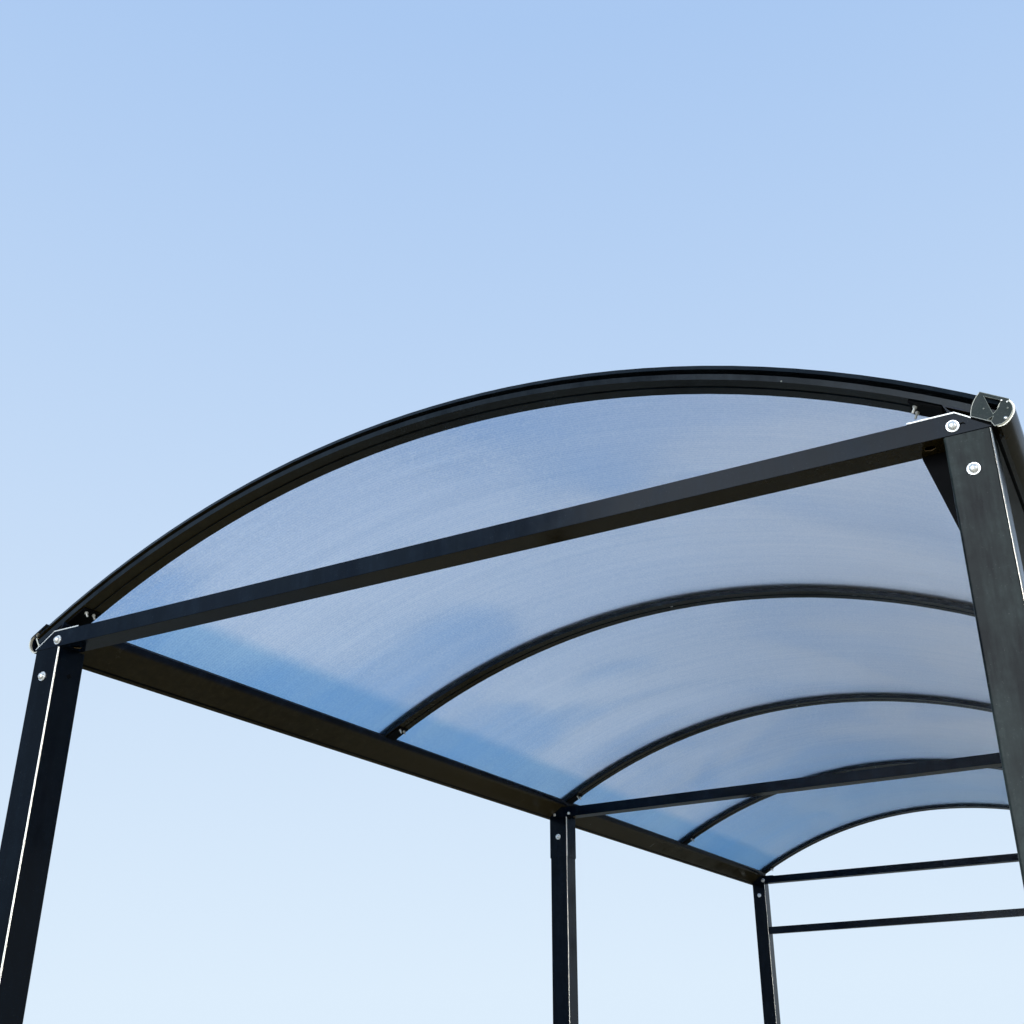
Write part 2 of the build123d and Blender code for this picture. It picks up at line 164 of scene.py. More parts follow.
class Recipe(Nodes):
    """A material, with short calls for the patterns that the finishes are made of."""

    def __init__(self, name):
        self.material = bpy.data.materials.new(name)
        self.material.use_nodes = True
        super().__init__(self.material.node_tree)
        self.shader = self.tree.nodes["Principled BSDF"]
        self.place = self.node("ShaderNodeTexCoord").outputs["Object"]

    def stretch(self, scale, turn=(0, 0, 0)):
        """The place stretched, and turned in degrees, for patterns that run one way."""
        turn = [math.radians(angle) for angle in turn]
        mapping = {"Vector": self.place, "Scale": scale, "Rotation": turn}
        return self.node("ShaderNodeMapping", mapping).outputs["Vector"]

    def noise(self, scale, detail=2.0, roughness=0.5, vector=None, distortion=0.0):
        """Cloudy noise, with its scale in repeats to a metre."""
        values = {"Vector": vector or self.place, "Scale": scale, "Detail": detail}
        values.update({"Roughness": roughness, "Distortion": distortion})
        return self.node("ShaderNodeTexNoise", values).outputs["Fac"]

    def specks(self, scale, size):
        """Small round specks: 1 inside a speck and 0 elsewhere."""
        cells = self.node("ShaderNodeTexVoronoi", {"Vector": self.place, "Scale": scale})
        return self.span(cells.outputs["Distance"], size, 0.4 * size)

    def axis(self, which):
        """The place along one axis."""
        return self.part(self.place, which)

    def away(self, which):
        """Distance along one axis from the middle of the shelter."""
        return self.math("ABSOLUTE", self.axis(which))

    def normal(self, which):
        """How far the surface faces along one axis, from -1 to 1."""
        return self.part(self.node("ShaderNodeNewGeometry").outputs["True Normal"], which)

    def facing(self, which):
        """The same either way along the axis, from 0 to 1."""
        return self.math("ABSOLUTE", self.normal(which))

    def bump(self, height, depth, below=None):
        """A fine relief of that depth in metres, over another one where there is one below."""
        made = self.node("ShaderNodeBump", {"Height": height, "Distance": depth})
        if below is not None:
            self.put(made.inputs["Normal"], below)
        return made.outputs["Normal"]

    def finish(self, **values):
        """Sets the shader's sockets by name, and gives back the material."""
        for name, value in values.items():
            self.put(self.shader.inputs[name.replace("_", " ")], value)
        return self.material


def colour(red, green, blue):
    return (red, green, blue, 1.0)


def times(tone, factor):
    """The same colour, that many times as bright."""
    return [factor * part for part in tone[:3]] + [1.0]


# Where a finish shows: masks of 1 there and 0 elsewhere, with soft edges


def upright(r):
    """Faces that stand upright."""
    return r.under(r.facing("Z"), 0.4, soft=0.1)


def end_on(r):
    """Faces that look along the shelter."""
    return r.over(r.facing("Y"), 0.95, soft=0.05)


SEAM_HALF_WIDTH = 0.0006


def seam_line(r):
    """Dark line where the tie beams sit on the post heads."""
    from_joint = r.math("ABSOLUTE", r.math("SUBTRACT", r.axis("Z"), HEAD_HEIGHT))
    return r.product(r.under(from_joint, SEAM_HALF_WIDTH, soft=0.0006), upright(r))


OUTER_BAND = 0.024


def outward_edges(r):
    """End-on faces on the outer side of the two end frames."""
    return r.product(end_on(r), r.over(r.away("Y"), FRAME_END - OUTER_BAND, soft=0.002))


CAP_COVER_X = 1.110
SAWN_DEPTH = 0.0025
SADDLE_TOP = HEAD_HEIGHT + BEAM_HEIGHT + SADDLE_THICKNESS
SADDLE_SLOPE = (BEAM_HEIGHT - BEAM_TIP) / BEAM_TAPER_LENGTH
BEND_SHIFT = SADDLE_THICKNESS * math.tan(math.atan(SADDLE_SLOPE) / 2)
SADDLE_BEND_X = HALF_WIDTH - BEAM_TAPER_LENGTH + BEND_SHIFT


def below_plate_top(r):
    """Depth below the bent top face of the saddle plates."""
    level = r.math("SUBTRACT", SADDLE_TOP, r.axis("Z"))
    past_bend = r.math("SUBTRACT", r.away("X"), SADDLE_BEND_X)
    slope = r.math("SUBTRACT", level, r.math("MULTIPLY", past_bend, SADDLE_SLOPE))
    return r.math("MINIMUM", level, slope)


def plate_edges(r):
    """The sawn outward edges of the end frames' saddle plates, bright along the top and up to the end
    caps; the middle frame's sawn edges keep the coat, as painted shade.
    """
    open_part = r.under(r.axis("X"), CAP_COVER_X, soft=0.0005)
    upper = r.under(below_plate_top(r), SAWN_DEPTH, soft=0.0004)
    return r.product(outward_edges(r), open_part, upper)


def covered_plate_edges(r):
    """The same edges under the right-hand end caps, painted black as painted shade under the caps."""
    return r.product(outward_edges(r), r.over(r.axis("X"), CAP_COVER_X + 0.0005, soft=0.0005))


NOSE_WALL_X = HALF_WIDTH + 0.0038
NOSE_HOLLOW_X = HALF_WIDTH + 0.0175
NOSE_SIDE_X = HALF_WIDTH + 0.058
NOSE_TOP = HEAD_HEIGHT + 0.0395
MOUTH_DEPTH = 0.005
SIDE_STRIP = 0.008
GROOVE_X = (1.1405, 1.1462)


def nose_edges(r):
    """Bare metal on the sawn ends of the eaves beams' noses, and just inside the open one."""
    beyond = r.over(r.away("X"), NOSE_WALL_X, soft=0.0006)
    low = r.under(r.axis("Z"), NOSE_TOP, soft=0.001)
    right = r.over(r.axis("X"), 0.1, soft=0.1)
    sawn = r.product(end_on(r), beyond, r.math("MAXIMUM", low, right))
    inward = r.over(r.normal("X"), 0.3, soft=0.2)
    within = r.under(r.axis("X"), -NOSE_HOLLOW_X, soft=0.001)
    mouth = r.under(r.axis("Y"), MOUTH_DEPTH - EAVES_END, soft=0.0015)
    return r.math("MAXIMUM", sawn, r.product(inward, within, mouth))


def nose_groove(r):
    """Shadow gap between the foot of the eaves beam's arm and its nose."""
    inner, outer = GROOVE_X
    past_inner = r.over(r.away("X"), inner, soft=0.001)
    short_of_outer = r.under(r.away("X"), outer, soft=0.0008)
    return r.product(past_inner, short_of_outer, r.under(r.facing("Y"), 0.4, soft=0.1))


def nose_side(r):
    """The outer side of the rounded nose, painted black and dull as painted shade."""
    beyond = r.over(r.away("X"), NOSE_SIDE_X, soft=0.008)
    return r.product(beyond, r.under(r.away("Y"), EAVES_END - SIDE_STRIP, soft=0.001))


HOLE_REACH = 0.0106
HOLE_X = 1.032
HOLE_ROW_Y = FRAME_END - 0.040
HOLE_TOP = HEAD_HEIGHT + 0.0055


def hole_edges(r):
    """Bare rusty edge inside the round holes under the tie beams."""
    across = r.math("ABSOLUTE", r.math("SUBTRACT", r.away("X"), HOLE_X))
    along = r.math("PINGPONG", r.math("ADD", r.axis("Y"), HOLE_ROW_Y), BAR_SPACING)
    near_across = r.under(across, HOLE_REACH, soft=0.0006)
    near_along = r.under(along, HOLE_REACH, soft=0.0006)
    low = r.under(r.axis("Z"), HOLE_TOP, soft=0.0005)
    return r.product(near_across, near_along, low, upright(r))


def rubbed_corners(r):
    """Front corner of each box post on its +X side, facing the side lamp: burnished metal, partly a
    painted highlight.
    """
    return r.product(r.over(r.normal("X"), 0.44, soft=0.08), r.under(r.normal("Y"), -0.44, soft=0.08))


# Finishes

CREAM_METAL = colour(0.93, 0.88, 0.74)
# Bright metal for the post corners that face the side lamp, partly a painted highlight
CORNER_GLINT_METAL = colour(0.56, 0.53, 0.47)
RUSTY_METAL = colour(0.42, 0.30, 0.17)
SAWN_METAL = colour(0.97, 0.96, 0.93)
DUST = colour(0.16, 0.17, 0.16)
BLACK = colour(0.0, 0.0, 0.0)
WHITE = colour(1.0, 1.0, 1.0)
COAT_IOR = 1.3
COAT_SPECULAR = 0.22
GAP_ROUGHNESS = 0.9


def powder_coat(
    name,
    base,
    patch,
    roughness,
    raw=None,
    raw_colour=None,
    raw_shine=0.35,
    raw_gloss=0.3,
    shine=COAT_SPECULAR,
    dirt=0.25,
    under=None,
    under_reach=None,
    far=None,
    gaps=(),
):
    """Gloss powder coat: orange peel, soft mottling, a film of dust and fine marks.

    raw is the mask of bare metal, and gaps are the masks of shadow gaps.  under is
    the colour of faces that look down, a painted reflection of the ground below;
    under_reach is where along X they have it, and far is that painted reflection
    further down the shelter.
    """
    r = Recipe(name)
    mottle = r.noise(7.0, 4.0, 0.65)
    cloud = r.noise(38.0, 4.0, 0.7)
    tone = r.blend(r.span(mottle, 0.35, 0.7), base, patch)
    streaks = r.noise(16.0, 4.0, 0.7, vector=r.stretch((1.0, 1.0, 0.15)))
    film = r.product(r.span(streaks, 0.42, 0.68), r.span(cloud, 0.30, 0.70, 0.25, 1.0))
    tone = r.blend(r.product(film, dirt), tone, times(patch, 4.0))
    # Painted reflection of the ground: faces that look down turn brown
    if under is not None:
        downward = r.under(r.normal("Z"), -0.75, soft=0.2)
        painted_ground_reflection = r.blend(r.span(cloud, 0.3, 0.7), under, times(under, 1.5))
        if far is not None:
            painted_ground_reflection = r.blend(r.span(r.axis("Y"), -1.7, -0.8), painted_ground_reflection, far)
        if under_reach is not None:
            downward = r.product(downward, r.span(r.axis("X"), *under_reach))
        tone = r.blend(downward, tone, painted_ground_reflection)
    dust = r.product(r.specks(190.0, 0.16), r.span(cloud, 0.45, 0.7), dirt)
    tone = r.blend(dust, tone, DUST)
    gloss = r.span(mottle, 0.3, 0.75, roughness * 0.8, roughness * 1.5)
    gloss = r.math("ADD", gloss, r.product(film, 0.25 * dirt))
    metal = 0.0
    if raw is not None:
        bare = raw(r)
        scored = r.span(r.noise(600.0, 2.0, 0.6), 0.3, 0.7)
        tone = r.blend(bare, tone, r.blend(scored, raw_colour, times(raw_colour, 0.8)))
        gloss = r.mix(bare, gloss, raw_gloss)
        metal = r.product(bare, raw_shine)
    for gap in (seam_line,) + gaps:
        dark = gap(r)
        tone = r.blend(dark, tone, BLACK)
        gloss = r.mix(dark, gloss, GAP_ROUGHNESS)
    peel = r.bump(r.noise(420.0, 1.0), depth=0.00003)
    return r.finish(
        Base_Color=tone,
        Roughness=gloss,
        Metallic=metal,
        Normal=r.bump(r.noise(9.0, 1.0), depth=0.00025, below=peel),
        IOR=COAT_IOR,
        Specular_IOR_Level=shine,
    )


SHEET_HAZE = (0.285, 0.34)
SHEET_IOR = 1.2
SHEET_CLEARNESS = 0.92


def clear_sheet(name):
    """Twin-wall sheet, weathered to a faint bloom that is paler to the right as painted light, with
    rib lines, specks and wipe marks.
    """
    r = Recipe(name)
    patch = r.noise(1.1, 2.0, 0.5, distortion=0.8)
    drift = r.noise(6.0, 3.0, 0.65, vector=r.stretch((0.16, 1.0, 0.16)))
    grain = r.noise(60.0, 2.0, 0.7, vector=r.stretch((0.03, 1.0, 0.03)))
    wipes = r.noise(36.0, 3.0, 0.75, vector=r.stretch((0.05, 1.0, 0.05), turn=(0, 0, 7)))
    frost = r.noise(210.0, 2.0, 0.8)
    bays = r.math("DIVIDE", r.math("SUBTRACT", r.axis("Y"), FIRST_BAR_Y), BAR_SPACING)
    near_bar = r.from_half(bays)
    near_rib = r.from_half(r.math("DIVIDE", r.axis("Y"), RIB_PITCH))
    across = r.axis("X")
    along = r.axis("Y")
    tint = r.blend(r.span(patch, 0.58, 0.42), colour(0.52, 0.70, 0.91), colour(0.86, 0.89, 0.95))
    layers = (
        # Bluer at the bars as painted shade, bluer down the shelter, and paler to the right as
        # painted light
        (r.span(near_bar, 0.12, 0.5, 0.0, 0.85), colour(0.40, 0.57, 0.82)),
        (r.span(along, -0.9, 1.2, 0.0, 0.70), colour(0.25, 0.52, 0.92)),
        (r.span(across, -1.0, 1.0, 0.0, 0.86), colour(0.92, 0.89, 0.90)),
        # Streaks, wipe marks, grain, ribs and frost
        (r.span(drift, 0.38, 0.66, 0.0, 0.6), colour(0.77, 0.83, 0.93)),
        (r.span(wipes, 0.45, 0.72, 0.0, 0.55), colour(0.90, 0.93, 0.98)),
        (r.span(grain, 0.32, 0.68, 0.65, 0.0), colour(0.42, 0.54, 0.70)),
        (r.span(near_rib, 0.38, 0.47, 0.0, 0.80), colour(0.25, 0.35, 0.50)),
        (r.span(frost, 0.30, 0.50, 0.8, 0.0), colour(0.40, 0.52, 0.70)),
        (r.span(frost, 0.48, 0.68, 0.0, 0.95), colour(0.97, 0.98, 1.0)),
        # Broad blue and pale patches, then paler to the right as painted light and bluer down the
        # shelter again, over the marks
        (r.span(patch, 0.46, 0.62, 0.0, 0.26), colour(0.26, 0.50, 0.82)),
        (r.span(patch, 0.54, 0.40, 0.0, 0.30), colour(0.88, 0.90, 0.96)),
        (r.span(across, 0.0, 0.75, 0.0, 0.43), colour(1.0, 0.93, 0.89)),
        (r.span(along, 0.6, 2.0, 0.0, 0.32), colour(0.42, 0.73, 1.0)),
    )
    for share, tone in layers:
        tint = r.blend(share, tint, tone)
    # Painted shadow of the left eaves beam as a deeper strip along the left eaves, and a few bright
    # specks
    eaves_shadow = r.product(r.span(across, -0.93, -0.975), r.span(along, -2.58, -2.45))
    tint = r.blend(eaves_shadow, tint, colour(0.60, 0.80, 0.92), kind="MULTIPLY")
    tint = r.blend(r.specks(46.0, 0.085), tint, WHITE)
    return r.finish(
        Base_Color=tint,
        Roughness=r.span(drift, 0.3, 0.7, *SHEET_HAZE),
        Normal=r.bump(grain, depth=0.00006),
        Transmission_Weight=SHEET_CLEARNESS,
        IOR=SHEET_IOR,
    )


def gasket_rubber(name):
    """Black rubber with a dull, slightly uneven face."""
    r = Recipe(name)
    tone = r.blend(r.noise(30.0, 3.0), colour(0.012, 0.012, 0.012), colour(0.035, 0.034, 0.032))
    return r.finish(
        Base_Color=tone,
        Roughness=r.span(r.noise(80.0), 0.3, 0.7, 0.5, 0.75),
        Normal=r.bump(r.noise(300.0), depth=0.0002),
    )


def zinc_plate(name, tone, stain, metal, gloss):
    """Zinc on bolts and washers, with a faint bloom."""
    r = Recipe(name)
    bloom = r.noise(180.0, 3.0, 0.6)
    return r.finish(
        Base_Color=r.blend(r.span(bloom, 0.35, 0.7), tone, stain),
        Roughness=r.span(bloom, 0.3, 0.7, gloss, 1.8 * gloss),
        Normal=r.bump(r.noise(900.0), depth=0.00003),
        Metallic=metal,
    )


def speckled_alloy(name, base, light):
    """Dull cast-grey plate, speckled with lighter wear."""
    r = Recipe(name)
    speckle = r.noise(330.0, 3.0, 0.75)
    cloud = r.noise(70.0, 3.0, 0.7)
    tone = r.blend(r.span(cloud, 0.35, 0.7), base, times(base, 1.8))
    return r.finish(
        Base_Color=r.blend(r.span(speckle, 0.55, 0.78, 0.0, 0.8), tone, light),
        Roughness=r.span(cloud, 0.3, 0.7, 0.38, 0.6),
        Normal=r.bump(speckle, depth=0.00012),
        Specular_IOR_Level=0.3,
    )


# Painted highlight: bright metal on the post corners that face the side lamp
CORNER_GLINT = {"raw": rubbed_corners, "raw_colour": CORNER_GLINT_METAL, "raw_shine": 1.0, "raw_gloss": 0.2}
frame_coat = powder_coat(
    "gloss_black_frame_coat",
    colour(0.0010, 0.0026, 0.0062),
    colour(0.0028, 0.0054, 0.0094),
    roughness=0.14,
    **CORNER_GLINT,
)
# Lighter, dustier copy of the frame coat for the near right post: partly dust, partly painted
# sunlight on that post
dust_and_sunlit_coat = powder_coat(
    "dusty_black_frame_coat",
    colour(0.0010, 0.0018, 0.0028),
    colour(0.0172, 0.0228, 0.0222),
    roughness=0.16,
    dirt=0.8,
    **CORNER_GLINT,
)
beam_coat = powder_coat(
    "gloss_black_beam_coat",
    colour(0.0014, 0.0038, 0.0100),
    colour(0.0040, 0.0072, 0.0125),
    roughness=0.14,
    raw=hole_edges,
    raw_colour=RUSTY_METAL,
    dirt=0.35,
    # under: painted reflection of the ground on the beams' undersides
    under=colour(0.0170, 0.0126, 0.0042),
    under_reach=(-0.35, -0.05),
)
# Dull, darker coat: on the gussets it is painted shade from the beams above; the cleats and the post
# plug share it
dull_and_shaded_coat = powder_coat(
    "dull_black_gusset_coat",
    colour(0.002, 0.002, 0.0025),
    colour(0.0035, 0.0036, 0.0042),
    roughness=0.45,
    shine=0.08,
)
saddle_coat = powder_coat(
    "black_saddle_coat_with_sawn_edges",
    colour(0.0035, 0.0045, 0.0065),
    colour(0.008, 0.009, 0.010),
    roughness=0.2,
    raw=plate_edges,
    raw_colour=SAWN_METAL,
    gaps=(covered_plate_edges,),
)
eaves_coat = powder_coat(
    "satin_black_eaves_coat",
    colour(0.0030, 0.0056, 0.0125),
    colour(0.0052, 0.0090, 0.0185),
    roughness=0.16,
    raw=nose_edges,
    raw_colour=CREAM_METAL,
    shine=0.3,
    dirt=0.4,
    # under and far: painted reflection of the ground on the downward faces, brighter further down the
    # shelter
    under=colour(0.0215, 0.0170, 0.0076),
    far=colour(0.0520, 0.0400, 0.0195),
    gaps=(nose_groove, nose_side),
)
bar_coat = powder_coat(
    "satin_black_bar_coat",
    colour(0.0046, 0.0074, 0.0108),
    colour(0.0090, 0.0128, 0.0172),
    roughness=0.18,
    shine=0.32,
    dirt=0.35,
    # under: painted reflection of the ground on the bar soffits
    under=colour(0.0190, 0.0152, 0.0060),
    under_reach=(0.1, -0.6),
)
end_cap_coat = speckled_alloy(
    "dull_grey_end_cap",
    colour(0.009, 0.015, 0.014),
    colour(0.085, 0.108, 0.092),
)
worn_alloy = speckled_alloy(
    "worn_grey_alloy",
    colour(0.14, 0.15, 0.135),
    colour(0.40, 0.42, 0.37),
)
cut_edge = zinc_plate(
    "cut_alloy_edge",
    colour(0.74, 0.75, 0.68),
    colour(0.50, 0.51, 0.46),
    metal=0.2,
    gloss=0.35,
)
zinc = zinc_plate(
    "bright_zinc",
    colour(0.95, 0.95, 0.94),
    colour(0.82, 0.83, 0.82),
    metal=0.6,
    gloss=0.2,
)
dull_zinc = zinc_plate(
    "dull_zinc",
    colour(0.90, 0.89, 0.84),
    colour(0.66, 0.64, 0.58),
    metal=0.45,
    gloss=0.25,
)
sheet_finish = clear_sheet("clear_twin_wall_sheet")
rubber = gasket_rubber("black_gasket")

# A node's own name, or else the first word of it
NODE_FINISHES = {
    "post_near_right": dust_and_sunlit_coat,
    "post": frame_coat,
    "tie": beam_coat,
    "low": beam_coat,
    "gusset": dull_and_shaded_coat,
    "bar": dull_and_shaded_coat,
    "saddle": saddle_coat,
    "eaves": eaves_coat,
    "arch": bar_coat,
    "end": end_cap_coat,
    "closure": rubber,
    "roof": sheet_finish,
}


def dress_frame():
    """Gives every node of the frame its finish."""
    for name, piece in nodes.items():
        finish = NODE_FINISHES.get(name) or NODE_FINISHES[name.split("_")[0]]
        piece.data.materials.clear()
        piece.data.materials.append(finish)


# Geometry nodes


class Tree(Nodes):
    """A geometry node network with named inputs, run once to make a plain mesh."""

    def __init__(self, name):
        super().__init__(bpy.data.node_groups.new(name, "GeometryNodeTree"))
        for way in ("OUTPUT", "INPUT"):
            self.tree.interface.new_socket("Geometry", in_out=way, socket_type="NodeSocketGeometry")
        self.source = self.node("NodeGroupInput")
        self.sink = self.node("NodeGroupOutput")
        self.values = {}

    def input(self, name, kind, value):
        socket = self.tree.interface.new_socket(name, in_out="INPUT", socket_type=kind)
        self.values[socket.identifier] = value
        return self.source.outputs[name]

    def size(self, name, value):
        return self.input(name, "NodeSocketFloat", value)

    def count(self, name, value):
        return self.input(name, "NodeSocketInt", value)

    def vector(self, x=0.0, y=0.0, z=0.0):
        return self.node("ShaderNodeCombineXYZ", {"X": x, "Y": y, "Z": z}).outputs[0]

    def make(self, name, geometry, material, start=None):
        """Runs the network, on a mesh of points if one is given, and returns a plain mesh."""
        realised = self.node("GeometryNodeRealizeInstances", {"Geometry": geometry}).outputs[0]
        paint = {"Geometry": realised, "Material": material}
        painted = self.node("GeometryNodeSetMaterial", paint).outputs[0]
        self.put(self.sink.inputs["Geometry"], painted)
        holder = place_object(name + "_holder", start or bpy.data.meshes.new(name + "_start"))
        modifier = holder.modifiers.new(name, "NODES")
        modifier.node_group = self.tree
        for identifier, value in self.values.items():
            modifier[identifier] = value
        graph = bpy.context.evaluated_depsgraph_get()
        mesh = bpy.data.meshes.new_from_object(holder.evaluated_get(graph))
        holder.modifiers.remove(modifier)
        bpy.data.objects.remove(holder)
        mesh.name = name
        return place_object(name, mesh)


def ride_root(piece, slot, *replaced):
    """Fixes a piece to the shelter's one body, in place of the nodes named."""
    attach(piece, "root")
    if replaced:
        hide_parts(*replaced)


# Twin-wall sheets

RIB_SINK = 0.0003
POINTS_PER_RIB = 3
ARC_STEPS = 54
SHARP_ANGLE = 0.8


def make_twin_wall_sheet(node):
    """Curved sheet whose two faces sink a little along every rib."""
    low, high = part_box(node)
    width = high[1] - low[1]
    tree = Tree("twin_wall_sheet")
    thickness = tree.size("Sheet thickness", SHEET_THICKNESS)
    sink = tree.size("Rib sink", RIB_SINK)
    pitch = tree.size("Rib pitch", RIB_PITCH)
    sheet_width = tree.size("Width", width)
    radius = tree.size("Inner radius", ARCH_RADIUS + BAR_HEIGHT + SHEET_CLEARANCE)
    half_angle = tree.size("Half angle", SEAT_ANGLE - SHEET_END_GAP / ARCH_RADIUS)
    centre_z = tree.size("Arch centre height", ARCH_CENTRE_Z)
    centre_y = tree.size("Sheet middle", (low[1] + high[1]) / 2)
    arc_points = tree.count("Arc points", ARC_STEPS + 1)
    width_points = tree.count("Width points", round(width / RIB_PITCH) * POINTS_PER_RIB + 1)
    # A block from -1 to 1 across the roof and through the sheet, bent point by point
    block = tree.node(
        "GeometryNodeMeshCube",
        {
            "Size": tree.vector(2.0, sheet_width, 2.0),
            "Vertices X": arc_points,
            "Vertices Y": width_points,
            "Vertices Z": 2,
        },
    ).outputs["Mesh"]
    place = tree.node("GeometryNodeInputPosition").outputs[0]
    along = tree.math("ADD", tree.part(place, "Y"), centre_y)
    from_rib = tree.from_half(tree.math("ADD", tree.math("DIVIDE", along, pitch), 0.5))
    slope = tree.math("SUBTRACT", 1.0, tree.math("MULTIPLY", from_rib, POINTS_PER_RIB))
    groove = tree.product(tree.math("MAXIMUM", slope), sink)
    half = tree.math("MULTIPLY", thickness, 0.5)
    rise = tree.product(tree.part(place, "Z"), tree.math("SUBTRACT", half, groove))
    spot = tree.math("ADD", tree.math("ADD", radius, half), rise)
    angle = tree.product(tree.part(place, "X"), half_angle)
    x = tree.product(spot, tree.math("SINE", angle))
    z = tree.math("ADD", tree.product(spot, tree.math("COSINE", angle)), centre_z)
    bend = {"Geometry": block, "Position": tree.vector(x, along, z)}
    bent = tree.node("GeometryNodeSetPosition", bend).outputs[0]
    smooth = tree.node("GeometryNodeSetShadeSmooth", {"Geometry": bent}, domain="FACE").outputs[0]
    crease = tree.node("GeometryNodeInputMeshEdgeAngle").outputs["Unsigned Angle"]
    test = {"data_type": "FLOAT", "operation": "GREATER_THAN"}
    sharp = tree.node("FunctionNodeCompare", {0: crease, 1: SHARP_ANGLE}, **test).outputs[0]
    edges = {"Geometry": smooth, "Selection": sharp, "Shade Smooth": False}
    shaded = tree.node("GeometryNodeSetShadeSmooth", edges, domain="EDGE").outputs[0]
    ride_root(tree.make("twin_wall_" + node, shaded, sheet_finish), "clear_sheet", node)


# Mesh building


def new_mesh(name, build):
    """A mesh from a bmesh function, with its normals outwards."""
    work = bmesh.new()
    build(work)
    bmesh.ops.recalc_face_normals(work, faces=work.faces)
    mesh = bpy.data.meshes.new(name)
    work.to_mesh(mesh)
    work.free()
    return mesh


def ring(work, radius, height, sides):
    """Points evenly round the Z axis, or one point on it."""
    if radius == 0:
        return [work.verts.new((0, 0, height))]
    turns = [2 * math.pi * step / sides for step in range(sides)]
    return [work.verts.new((radius * math.cos(t), radius * math.sin(t), height)) for t in turns]


def join_rings(work, rings, sides):
    """Faces between each ring and the next, in a fan where one of them is a point."""
    for lower, upper in zip(rings, rings[1:]):
        for step in range(sides):
            after = (step + 1) % sides
            if len(lower) == 1:
                work.faces.new((lower[0], upper[step], upper[after]))
            elif len(upper) == 1:
                work.faces.new((lower[step], lower[after], upper[0]))
            else:
                work.faces.new((lower[step], lower[after], upper[after], upper[step]))


def turned(work, profile, sides):
    """A turned shape about Z from (radius, height) pairs, closed on the axis."""
    join_rings(work, [ring(work, radius, height, sides) for radius, height in profile], sides)


def hexagon(work, across, low, high, chamfer):
    """A hexagon nut or head with its corners chamfered at the top."""
    corner = across / math.sqrt(3)
    levels = ((corner, low), (corner, high - chamfer), (across / 2, high))
    rings = [ring(work, radius, height, 6) for radius, height in levels]
    join_rings(work, rings, 6)
    work.faces.new(reversed(rings[0]))
    work.faces.new(rings[-1])


# End caps

END_CAPS = ("end_cap_near_right", "end_cap_far_right", "end_cap_far_left")
CHAMFER_WIDTH = 0.0009
CHAMFER_DEPTH = 0.0004
MERGE_DISTANCE = 1e-6
# Least part of a normal along the shelter on a cap's face, and the most on its edges
FACE_ON = 0.99
EDGE_ON = 0.5
# Extent of the window and the drain hole, up the roof from the seat wall and out from the soffit
RIM_INWARD = (-0.006, 0.0310)
RIM_HEIGHT = (-0.0095, 0.0318)
RIM_TOP = 0.034


def roof_offset(point):
    """Distance up the roof from the seat wall, and out from the soffit line."""
    radius = math.hypot(point.x, point.z - ARCH_CENTRE_Z)
    angle = math.asin(abs(point.x) / radius)
    return (SEAT_ANGLE - angle) * ARCH_RADIUS, radius - ARCH_RADIUS


def make_end_cap(node):
    """End cap plate with a light cut chamfer round its face and its window."""
    low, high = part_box(node)
    outward = 1 if high[1] > 0 else -1
    work = bmesh.new()
    work.from_mesh(nodes[node].data)
    bmesh.ops.remove_doubles(work, verts=work.verts, dist=MERGE_DISTANCE)
    bmesh.ops.dissolve_limit(work, angle_limit=math.radians(1), verts=work.verts, edges=work.edges)
    work.normal_update()
    face = [f for f in work.faces if f.normal.y * outward > FACE_ON]
    outline = {v for f in face for v in f.verts}
    chamfer = {"thickness": CHAMFER_WIDTH, "use_even_offset": True, "use_boundary": True}
    bevel = bmesh.ops.inset_region(work, faces=face, **chamfer)["faces"]
    for vert in outline:
        vert.co.y -= outward * CHAMFER_DEPTH
    for f in set(bevel) | {f for f in work.faces if abs(f.normal.y) < EDGE_ON}:
        inward, height = roof_offset(f.calc_center_median())
        opening = RIM_INWARD[0] < inward < RIM_INWARD[1] and RIM_HEIGHT[0] < height < RIM_HEIGHT[1]
        f.material_index = 2 if opening or height > RIM_TOP else 1
    mesh = bpy.data.meshes.new("trimmed_" + node)
    work.to_mesh(mesh)
    work.free()
    for finish in (end_cap_coat, cut_edge, worn_alloy):
        mesh.materials.append(finish)
    ride_root(place_object("trimmed_" + node, mesh), "end_cap_coat", node)


# Bolts, screws and rivets, each seated on Z = 0 and drawn as (radius, height) outlines

WASHER_RADIUS = 0.0115
WASHER_HEIGHT = 0.0018
WASHER_EDGE = 0.0004
HEAD_RADIUS = 0.0082
HEAD_UNDERCUT = 0.0005
HEAD_SINK = 0.0002
HEAD_FOOT = 0.0006
HEAD_SKIRT = 0.0022
HEAD_RISE = 0.0055
HEAD_STEPS = 8


def dome_bolt(work):
    """Domed bolt head on a plated washer."""
    washer = [
        (0, 0),
        (WASHER_RADIUS, 0),
        (WASHER_RADIUS, WASHER_HEIGHT - WASHER_EDGE),
        (WASHER_RADIUS - WASHER_EDGE, WASHER_HEIGHT),
        (HEAD_RADIUS - 2 * HEAD_UNDERCUT, WASHER_HEIGHT),
        (0, WASHER_HEIGHT),
    ]
    turned(work, washer, sides=32)
    foot = WASHER_HEIGHT - HEAD_SINK
    head = [(0, foot), (HEAD_RADIUS - HEAD_UNDERCUT, foot), (HEAD_RADIUS, foot + HEAD_FOOT)]
    for step in range(HEAD_STEPS + 1):
        turn = math.pi / 2 * step / HEAD_STEPS
        radius = 0 if step == HEAD_STEPS else HEAD_RADIUS * math.cos(turn)
        head.append((radius, foot + HEAD_SKIRT + HEAD_RISE * math.sin(turn)))
    turned(work, head, sides=28)


ANCHOR_WASHER_RADIUS = 0.013
ANCHOR_WASHER_HEIGHT = 0.0026
NUT_ACROSS = 0.019
NUT_HEIGHT = 0.010
NUT_CHAMFER = 0.0012
ANCHOR_RADIUS = 0.0058
ANCHOR_TIP_RADIUS = 0.005
ANCHOR_FOOT = 0.012
ANCHOR_TOP = 0.022
ANCHOR_CHAMFER = 0.001


